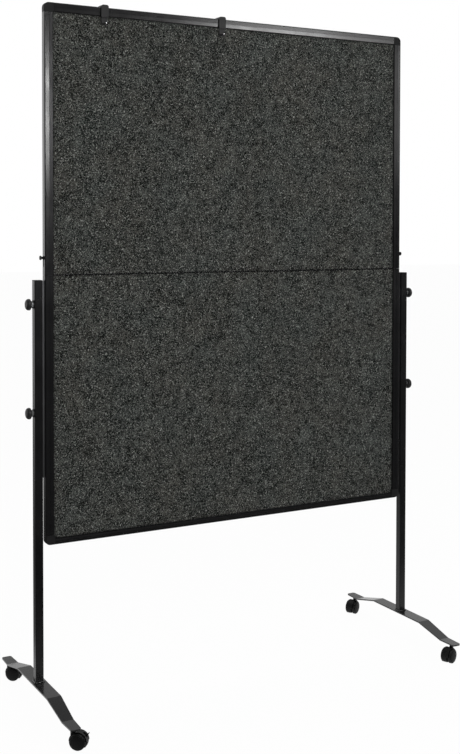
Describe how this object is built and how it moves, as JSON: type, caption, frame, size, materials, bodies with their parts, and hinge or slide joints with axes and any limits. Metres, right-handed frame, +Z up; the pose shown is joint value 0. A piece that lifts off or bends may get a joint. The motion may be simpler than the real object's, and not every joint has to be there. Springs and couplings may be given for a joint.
{
  "type": "mobile presentation pinboard",
  "caption": "Felt-covered folding pinboard in a black frame, clamped at adjustable height between posts on bent-plate feet with twin-wheel casters.",
  "frame": {"origin": "on the floor, midway between the two feet and between their ends", "axes": "+X along the board to the right seen from the front, -Y out of the front face, +Z up"},
  "size_m": [1.3026, 0.6027, 1.9687],
  "materials": {
    "frame_black": "satin black anodised",
    "steel_black": "satin black powder coat",
    "foot_grey": "satin anthracite powder coat",
    "plastic_black": "matte black",
    "caster_black": "semi-gloss black",
    "knob_grey": "matte dark grey",
    "felt_grey": "needle felt, mottled dark grey",
    "core_board": "soft fibreboard",
    "zinc_steel": "bright zinc"
  },
  "bodies": {
    "stand": {"left_foot": "foot_grey", "right_foot": "foot_grey", "left_post": "steel_black", "right_post": "steel_black", "post_caps": "plastic_black", "post_base_plugs": "zinc_steel", "foot_bolts": "zinc_steel", "caster_stems": "steel_black", "clamp_nuts": "zinc_steel", "clamp_washers": "steel_black"},
    "lower_board": {"lower_core": "core_board", "lower_front_felt": "felt_grey", "lower_back_felt": "felt_grey", "lower_left_rail": "frame_black", "lower_right_rail": "frame_black", "bottom_rail": "frame_black", "bottom_corners": "plastic_black", "lower_seam_strip": "plastic_black", "guide_rails": "frame_black", "lower_hinge_leaves": "steel_black"},
    "upper_board": {"upper_core": "core_board", "upper_front_felt": "felt_grey", "upper_back_felt": "felt_grey", "upper_left_rail": "frame_black", "upper_right_rail": "frame_black", "top_rail": "frame_black", "top_corners": "plastic_black", "upper_seam_strip": "plastic_black", "upper_hinge_leaves": "steel_black", "hinge_pins": "zinc_steel"},
    "left_lock": {"left_lock_bolt": "plastic_black"},
    "right_lock": {"right_lock_bolt": "plastic_black"},
    "left_hook": {"left_paper_hook": "plastic_black"},
    "right_hook": {"right_paper_hook": "plastic_black"},
    "left_upper_clamp": {"left_upper_knob": "knob_grey", "left_upper_clamp_screw": "zinc_steel"},
    "left_lower_clamp": {"left_lower_knob": "knob_grey", "left_lower_clamp_screw": "zinc_steel"},
    "right_upper_clamp": {"right_upper_knob": "knob_grey", "right_upper_clamp_screw": "zinc_steel"},
    "right_lower_clamp": {"right_lower_knob": "knob_grey", "right_lower_clamp_screw": "zinc_steel"},
    "front_left_caster": {"front_left_caster_housing": "caster_black", "front_left_caster_axle": "steel_black"},
    "front_left_first_wheel": {"front_left_first_wheel": "caster_black"},
    "front_left_second_wheel": {"front_left_second_wheel": "caster_black"},
    "front_left_brake": {"front_left_brake_lever": "caster_black"},
    "back_left_caster": {"back_left_caster_housing": "caster_black", "back_left_caster_axle": "steel_black"},
    "back_left_first_wheel": {"back_left_first_wheel": "caster_black"},
    "back_left_second_wheel": {"back_left_second_wheel": "caster_black"},
    "front_right_caster": {"front_right_caster_housing": "caster_black", "front_right_caster_axle": "steel_black"},
    "front_right_first_wheel": {"front_right_first_wheel": "caster_black"},
    "front_right_second_wheel": {"front_right_second_wheel": "caster_black"},
    "back_right_caster": {"back_right_caster_housing": "caster_black", "back_right_caster_axle": "steel_black"},
    "back_right_first_wheel": {"back_right_first_wheel": "caster_black"},
    "back_right_second_wheel": {"back_right_second_wheel": "caster_black"}
  },
  "joints": [
    {"name": "height_adjust", "type": "slide", "parent": "stand", "child": "lower_board", "axis": [0, 0, 1], "range_m": [-0.025, 0.16]},
    {"name": "board_fold", "type": "hinge", "parent": "lower_board", "child": "upper_board", "pos_m": [0, 0.0145, 1.212], "axis": [-1, 0, 0], "range_deg": [0, 180]},
    {"name": "left_lock_slide", "type": "slide", "parent": "upper_board", "child": "left_lock", "axis": [0, 0, 1], "range_m": [-0.022, 0]},
    {"name": "right_lock_slide", "type": "slide", "parent": "upper_board", "child": "right_lock", "axis": [0, 0, 1], "range_m": [-0.022, 0]},
    {"name": "left_hook_slide", "type": "slide", "parent": "upper_board", "child": "left_hook", "axis": [1, 0, 0], "range_m": [-0.12, 0.16]},
    {"name": "right_hook_slide", "type": "slide", "parent": "upper_board", "child": "right_hook", "axis": [1, 0, 0], "range_m": [-0.16, 0.6]},
    {"name": "left_upper_clamp_turn", "type": "hinge", "parent": "stand", "child": "left_upper_clamp", "pos_m": [-0.64, 0, 1.132], "axis": [-1, 0, 0], "range_deg": [0, 720]},
    {"name": "left_lower_clamp_turn", "type": "hinge", "parent": "stand", "child": "left_lower_clamp", "pos_m": [-0.64, 0, 0.832], "axis": [-1, 0, 0], "range_deg": [0, 720]},
    {"name": "right_upper_clamp_turn", "type": "hinge", "parent": "stand", "child": "right_upper_clamp", "pos_m": [0.64, 0, 1.132], "axis": [1, 0, 0], "range_deg": [0, 720]},
    {"name": "right_lower_clamp_turn", "type": "hinge", "parent": "stand", "child": "right_lower_clamp", "pos_m": [0.64, 0, 0.832], "axis": [1, 0, 0], "range_deg": [0, 720]},
    {"name": "front_left_swivel", "type": "hinge", "parent": "stand", "child": "front_left_caster", "pos_m": [-0.6183, -0.269, 0.04], "axis": [0, 0, 1], "continuous": true},
    {"name": "front_left_first_wheel_spin", "type": "hinge", "parent": "front_left_caster", "child": "front_left_first_wheel", "pos_m": [-0.60528, -0.27993, 0.022], "axis": [0.6428, 0.766, 0], "continuous": true},
    {"name": "front_left_second_wheel_spin", "type": "hinge", "parent": "front_left_caster", "child": "front_left_second_wheel", "pos_m": [-0.60528, -0.27993, 0.022], "axis": [0.6428, 0.766, 0], "continuous": true},
    {"name": "front_left_brake_press", "type": "hinge", "parent": "front_left_caster", "child": "front_left_brake", "pos_m": [-0.5934, -0.28989, 0.035], "axis": [0.6428, 0.766, 0], "range_deg": [0, 18]},
    {"name": "back_left_swivel", "type": "hinge", "parent": "stand", "child": "back_left_caster", "pos_m": [-0.6183, 0.269, 0.04], "axis": [0, 0, 1], "continuous": true},
    {"name": "back_left_first_wheel_spin", "type": "hinge", "parent": "back_left_caster", "child": "back_left_first_wheel", "pos_m": [-0.60567, 0.25762, 0.022], "axis": [0.6691, 0.7431, 0], "continuous": true},
    {"name": "back_left_second_wheel_spin", "type": "hinge", "parent": "back_left_caster", "child": "back_left_second_wheel", "pos_m": [-0.60567, 0.25762, 0.022], "axis": [0.6691, 0.7431, 0], "continuous": true},
    {"name": "front_right_swivel", "type": "hinge", "parent": "stand", "child": "front_right_caster", "pos_m": [0.6183, -0.269, 0.04], "axis": [0, 0, 1], "continuous": true},
    {"name": "front_right_first_wheel_spin", "type": "hinge", "parent": "front_right_caster", "child": "front_right_first_wheel", "pos_m": [0.60254, -0.27537, 0.022], "axis": [0.3746, -0.9272, 0], "continuous": true},
    {"name": "front_right_second_wheel_spin", "type": "hinge", "parent": "front_right_caster", "child": "front_right_second_wheel", "pos_m": [0.60254, -0.27537, 0.022], "axis": [0.3746, -0.9272, 0], "continuous": true},
    {"name": "back_right_swivel", "type": "hinge", "parent": "stand", "child": "back_right_caster", "pos_m": [0.6183, 0.269, 0.04], "axis": [0, 0, 1], "continuous": true},
    {"name": "back_right_first_wheel_spin", "type": "hinge", "parent": "back_right_caster", "child": "back_right_first_wheel", "pos_m": [0.60329, 0.26102, 0.022], "axis": [0.4695, -0.8829, 0], "continuous": true},
    {"name": "back_right_second_wheel_spin", "type": "hinge", "parent": "back_right_caster", "child": "back_right_second_wheel", "pos_m": [0.60329, 0.26102, 0.022], "axis": [0.4695, -0.8829, 0], "continuous": true}
  ]
}
